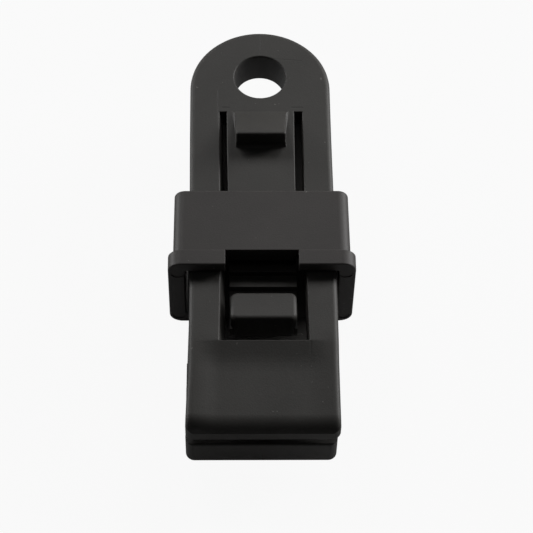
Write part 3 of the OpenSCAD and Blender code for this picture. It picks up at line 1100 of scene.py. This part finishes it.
def moulded_skin():
    """Node group: the mottled colour, uneven roughness, fine grain and marks of a moulded skin."""
    name = "Moulded skin"
    if name in bpy.data.node_groups:
        return bpy.data.node_groups[name]
    tree, given, out = new_group(
        name,
        (
            ("Colour", "Color", (0.04, 0.04, 0.04, 1)),
            ("Clouds", "Float", 0.5),
            ("Flecks", "Float", 0.3),
            ("Grain scale", "Float", 3200),
            ("Specks", "Float", 0.5),
            ("Roughness", "Float", 0.55),
            ("Marks", "Float", 0),
        ),
        (("Colour", "Color"), ("Roughness", "Float"), ("Height", "Float")),
    )
    place = node(tree, "TexCoord").outputs["Object"]
    cloudy = joined(tree, "SUBTRACT", noise(tree, place, CLOUD_SCALE, 4, 0.6), 0.5)
    grain = noise(tree, place, given["Grain scale"], 2, 0.6)
    fleck = joined(tree, "SUBTRACT", grain, 0.5)
    clouds = joined(tree, "MULTIPLY", cloudy, given["Clouds"])
    flecks = joined(tree, "MULTIPLY", fleck, given["Flecks"])
    level = joined(tree, "ADD", joined(tree, "ADD", clouds, flecks), 1)
    level = joined(tree, "ADD", level, joined(tree, "MULTIPLY", given["Marks"], MARK_SHADE))
    shade = node(tree, "VectorMath", {0: given["Colour"], "Scale": level}, operation="SCALE")
    dust = node(tree, "ValToRGB", {"Fac": noise(tree, place, DUST_SCALE, 1)})
    for stop, position in zip(dust.color_ramp.elements, (DUST_FROM, DUST_FULL)):
        stop.position = position
    amount = joined(tree, "MULTIPLY", dust.outputs["Color"], given["Specks"])
    mixed = {"Factor": amount, "A": shade.outputs["Vector"], "B": DUST_COLOUR}
    dusty = node(tree, "Mix", mixed, data_type="RGBA")
    uneven = joined(tree, "MULTIPLY", cloudy, ROUGHNESS_SPREAD)
    sunk = joined(tree, "MULTIPLY", given["Marks"], MARK_SUNK)
    fed(
        tree,
        out,
        {
            "Colour": dusty.outputs["Result"],
            "Roughness": joined(tree, "ADD", given["Roughness"], uneven),
            "Height": joined(tree, "ADD", grain, sunk),
        },
    )
    return tree


def line_mark():
    """Node group: a soft line between two points on the surface, 1 on the line."""
    name = "Line mark"
    if name in bpy.data.node_groups:
        return bpy.data.node_groups[name]
    tree, given, out = new_group(
        name,
        (("From", "Vector", (0, 0, 0)), ("To", "Vector", (0, 1, 0)), ("Width", "Float", 0.0002)),
        (("Mask", "Float"),),
    )

    def vectors(how, first, second, result="Vector"):
        inputs = {0: first, "Scale" if how == "SCALE" else 1: second}
        return node(tree, "VectorMath", inputs, operation=how).outputs[result]

    away = vectors("SUBTRACT", node(tree, "TexCoord").outputs["Object"], given["From"])
    line = vectors("SUBTRACT", given["To"], given["From"])
    reach = vectors("DOT_PRODUCT", away, line, "Value")
    along = joined(tree, "DIVIDE", reach, vectors("DOT_PRODUCT", line, line, "Value"))
    along.node.use_clamp = True
    gap = vectors("SUBTRACT", away, vectors("SCALE", line, along))
    size = node(tree, "VectorMath", {0: gap}, operation="LENGTH").outputs["Value"]
    near = joined(tree, "SUBTRACT", 1, joined(tree, "DIVIDE", size, given["Width"]))
    near.node.use_clamp = True
    fed(tree, out, {"Mask": near})
    return tree


def moulded_plastic(name, colour, marks=()):
    """Matt moulded plastic in one of the finish's colours, with the mould's line marks."""
    if name in bpy.data.materials:
        return bpy.data.materials[name]
    finish = bpy.context.scene.clip_finish
    material = bpy.data.materials.new(name)
    material.use_nodes = True
    tree = material.node_tree
    mask = 0
    for first, last, width, depth in marks:
        ends = {"From": Vector(first) / WORK, "To": Vector(last) / WORK, "Width": width / WORK}
        line = node(tree, "Group", ends, node_tree=line_mark()).outputs["Mask"]
        mask = joined(tree, "MAXIMUM", mask, joined(tree, "MULTIPLY", line, depth))
    own = {"Colour": getattr(finish, colour), "Roughness": finish.roughness, "Marks": mask}
    skin = node(tree, "Group", own, node_tree=moulded_skin()).outputs
    grain = {"Strength": 0.35, "Distance": GRAIN_HEIGHT, "Height": skin["Height"]}
    surface = {
        "Base Color": skin["Colour"],
        "Roughness": skin["Roughness"],
        "Specular IOR Level": 0.35,
        "Normal": node(tree, "Bump", grain).outputs["Normal"],
    }
    fed(tree, tree.nodes["Principled BSDF"], surface)
    return material


# Operators, one for each piece and one for the stage


class CLIP_OT_rope_eyelet(bpy.types.Operator):
    """Make the rounded end with the rope hole"""

    bl_idname = "clip.rope_eyelet"
    bl_label = "Rope eyelet"

    def execute(self, context):
        member("rope_eyelet", "sprung_body")
        return {"FINISHED"}


class CLIP_OT_upper_arm(bpy.types.Operator):
    """Make the two rails and the bar in front of the window"""

    bl_idname = "clip.upper_arm"
    bl_label = "Upper arm"

    def execute(self, context):
        member("upper_arm", "sprung_body")
        return {"FINISHED"}


class CLIP_OT_upper_jaw(bpy.types.Operator):
    """Make the upper jaw with its lip and gripping teeth"""

    bl_idname = "clip.upper_jaw"
    bl_label = "Upper jaw"

    def execute(self, context):
        member("upper_jaw", "sprung_body")
        return {"FINISHED"}


class CLIP_OT_lower_arm(bpy.types.Operator):
    """Make the lower arm, whose root bends as the jaws open"""

    bl_idname = "clip.lower_arm"
    bl_label = "Lower arm"

    def execute(self, context):
        bending_member("lower_arm", "lower_arm")
        return {"FINISHED"}


class CLIP_OT_lower_jaw(bpy.types.Operator):
    """Make the lower jaw with its gripping teeth"""

    bl_idname = "clip.lower_jaw"
    bl_label = "Lower jaw"

    def execute(self, context):
        member("lower_jaw", "lower_arm")
        return {"FINISHED"}


class CLIP_OT_latch_tongue(bpy.types.Operator):
    """Make the sprung tongue with its ratchet, whose root bends as it is pressed"""

    bl_idname = "clip.latch_tongue"
    bl_label = "Latch tongue"

    def execute(self, context):
        bending_member("latch_tongue", "latch")
        return {"FINISHED"}


class CLIP_OT_stop_tab(bpy.types.Operator):
    """Make the stop tab on the tongue's root"""

    bl_idname = "clip.stop_tab"
    bl_label = "Stop tab"

    def execute(self, context):
        bending_member("stop_tab", "latch")
        return {"FINISHED"}


class CLIP_OT_thumb_button(bpy.types.Operator):
    """Make the thumb button at the tongue's free end"""

    bl_idname = "clip.thumb_button"
    bl_label = "Thumb button"

    def execute(self, context):
        member("thumb_button", "latch")
        return {"FINISHED"}


class CLIP_OT_locking_collar(bpy.types.Operator):
    """Make the sliding collar"""

    bl_idname = "clip.locking_collar"
    bl_label = "Locking collar"

    def execute(self, context):
        sizes = in_millimetres(context.scene.clip_sizes)
        at = places(sizes)
        mesh = edges_rounded(collar_solid(sizes, at), collar_edge_radius(sizes, at))
        for mark in pin_marks(sizes, at):
            mesh = combined(mesh, mark, "DIFFERENCE")
        material = moulded_plastic("Moulded collar", "collar_colour")
        made = finished("locking_collar", mesh, material)
        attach(made, "collar")
        return {"FINISHED"}


class CLIP_OT_stage(bpy.types.Operator):
    """Make the floor, the lamps, the world and the camera"""

    bl_idname = "clip.stage"
    bl_label = "Stage"

    def execute(self, context):
        scene = context.scene
        scene.view_settings.view_transform = "Standard"
        make_floor()
        make_world(scene)
        stage = scene.clip_stage
        for name, power_name, turn, height in LAMPS:
            make_lamp(name, turn, height, stage.lamp_size, getattr(stage, power_name))
        make_camera(scene)
        return {"FINISHED"}


def background_share(tree):
    """How far a ray sees the white background itself: the camera and glass do, gloss a little."""
    path = node(tree, "LightPath").outputs
    seen = joined(tree, "ADD", path["Is Camera Ray"], path["Is Transmission Ray"])
    return joined(tree, "ADD", seen, joined(tree, "MULTIPLY", path["Is Glossy Ray"], GLOSS_SHARE))


def make_floor():
    """A wide pale floor just under the clip, nearly white to the camera, with the clip's shadow."""
    mesh = bmesh.new()
    bmesh.ops.create_grid(mesh, x_segments=1, y_segments=1, size=FLOOR_REACH)
    bmesh.ops.translate(mesh, vec=(0, 0, CAD_BOX[0].z - FLOOR_GAP), verts=mesh.verts)
    floor = holding("Floor", mesh)
    material = bpy.data.materials.new("Pale floor")
    material.use_nodes = True
    tree = material.node_tree
    matt = {"Base Color": FLOOR_COLOUR, "Roughness": 1, "Specular IOR Level": 0}
    lit = fed(tree, tree.nodes["Principled BSDF"], matt).outputs[0]
    white = node(tree, "Emission").outputs[0]
    share = joined(tree, "MULTIPLY", background_share(tree), FLOOR_WHITE)
    mix = node(tree, "MixShader", {0: share, 1: lit, 2: white})
    fed(tree, tree.nodes["Material Output"], {"Surface": mix.outputs[0]})
    floor.data.materials.append(material)


def make_world(scene):
    """A world that is white behind the clip and lights it only faintly."""
    world = bpy.data.worlds.new("Studio")
    scene.world = world
    world.use_nodes = True
    tree = world.node_tree
    strength = joined(tree, "MAXIMUM", background_share(tree), WORLD_LIGHT)
    fed(tree, tree.nodes["Background"], {"Color": (1, 1, 1, 1), "Strength": strength})


def make_lamp(name, turn, height, size, watts):
    """A square soft lamp that faces the clip, turned from straight behind towards the right."""
    turn, height = math.radians(turn), math.radians(height)
    level = math.cos(height)
    way = Vector((math.sin(turn) * level, math.cos(turn) * level, math.sin(height)))
    data = bpy.data.lights.new(name, "AREA")
    data.size = size
    data.energy = watts
    lamp = placed(name, data)
    lamp.location = AIM + way * LAMP_DISTANCE
    lamp.rotation_euler = (-way).to_track_quat("-Z", "Y").to_euler()


def make_camera(scene):
    """The photograph's camera: about 58 degrees above the flat top, turned and rolled a little."""
    data = bpy.data.cameras.new("Camera")
    data.sensor_width = SENSOR
    data.lens = LENS
    data.clip_start = NEAREST
    camera = placed("Camera", data)
    down, turn, roll = (math.radians(a) for a in CAMERA_ANGLES)
    right = Vector((math.cos(turn), math.sin(turn), 0))
    back = Vector((math.sin(turn) * math.cos(down), -math.cos(turn) * math.cos(down), math.sin(down)))
    up = back.cross(right)
    x_way = right * math.cos(roll) + up * math.sin(roll)
    y_way = up * math.cos(roll) - right * math.sin(roll)
    turned = Matrix((x_way, y_way, back)).transposed().to_4x4()
    camera.matrix_world = Matrix.Translation(CAMERA_PLACE) @ turned
    scene.camera = camera


class CLIP_PT_panel(bpy.types.Panel):
    """Lists the clip's pieces, sizes, finish and stage"""

    bl_idname = "CLIP_PT_panel"
    bl_label = "Tarp clip"
    bl_space_type = "VIEW_3D"
    bl_region_type = "UI"
    bl_category = "Tarp clip"

    def draw(self, context):
        layout = self.layout
        for operator in OPERATORS:
            layout.operator(operator.bl_idname)
        for group in (getattr(context.scene, name) for name in GROUPS):
            column = layout.column(align=True)
            for row in group.bl_rna.properties:
                if row.identifier not in ("name", "rna_type"):
                    column.prop(group, row.identifier)


OPERATORS = (
    CLIP_OT_rope_eyelet,
    CLIP_OT_upper_arm,
    CLIP_OT_upper_jaw,
    CLIP_OT_lower_jaw,
    CLIP_OT_lower_arm,
    CLIP_OT_latch_tongue,
    CLIP_OT_stop_tab,
    CLIP_OT_thumb_button,
    CLIP_OT_locking_collar,
    CLIP_OT_stage,
)
GROUPS = {"clip_sizes": ClipSizes, "clip_finish": ClipFinish, "clip_stage": ClipStage}


def register():
    for kind in (*GROUPS.values(), *OPERATORS, CLIP_PT_panel):
        bpy.utils.register_class(kind)
    for name, kind in GROUPS.items():
        setattr(bpy.types.Scene, name, PointerProperty(type=kind))


def unregister():
    for name in GROUPS:
        delattr(bpy.types.Scene, name)
    for kind in (CLIP_PT_panel, *reversed(OPERATORS), *GROUPS.values()):
        bpy.utils.unregister_class(kind)


def main():
    register()
    for operator in OPERATORS:
        family, name = operator.bl_idname.split(".")
        getattr(getattr(bpy.ops, family), name)()
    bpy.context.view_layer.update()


if __name__ == "__main__":
    main()
